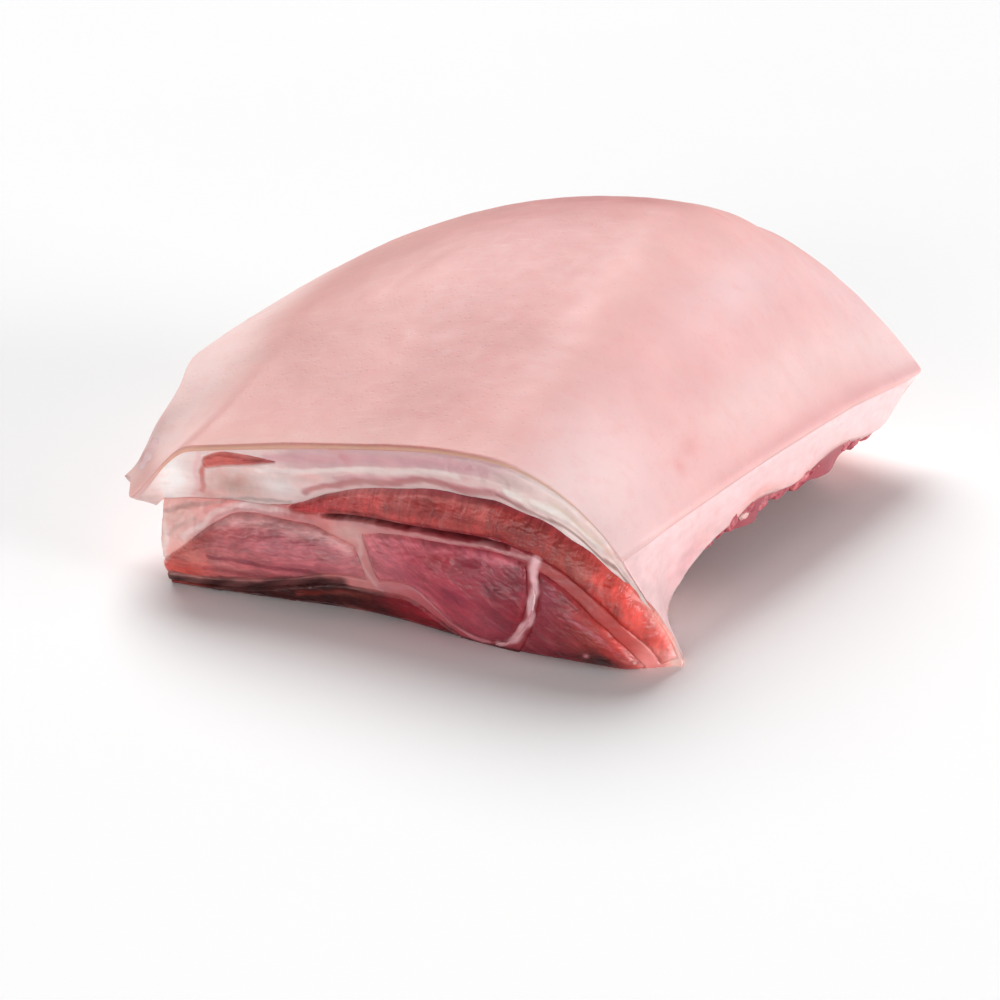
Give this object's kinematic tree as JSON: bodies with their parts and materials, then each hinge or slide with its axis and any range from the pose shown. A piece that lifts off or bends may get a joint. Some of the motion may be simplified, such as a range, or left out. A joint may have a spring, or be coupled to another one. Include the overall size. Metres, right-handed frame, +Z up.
{
  "type": "raw rind-on pork rib slab",
  "caption": "Raw slab of rind-on pork from the rib side, domed and lying rind up, with a cut face of red muscle in white fat and a loose flap of rind at one corner.",
  "frame": {"origin": "middle of the box around the slab, at the height of the surface it rests on", "axes": "+X to the right along the front cut, +Y from the front cut to the back cut, +Z up out of the rind"},
  "size_m": [0.242, 0.2322, 0.1005],
  "materials": {
    "rind": "satin",
    "fat": "satin",
    "red_lean": "satin",
    "pale_lean": "satin",
    "purple_lean": "satin",
    "dark_lean": "satin"
  },
  "bodies": {
    "root": {"rind_and_fat": "rind", "seam_fat": "fat", "skin_lean": "red_lean", "upper_lean": "red_lean", "left_lean": "pale_lean", "middle_lean": "purple_lean", "right_lean": "red_lean", "under_lean": "dark_lean"}
  },
  "joints": []
}
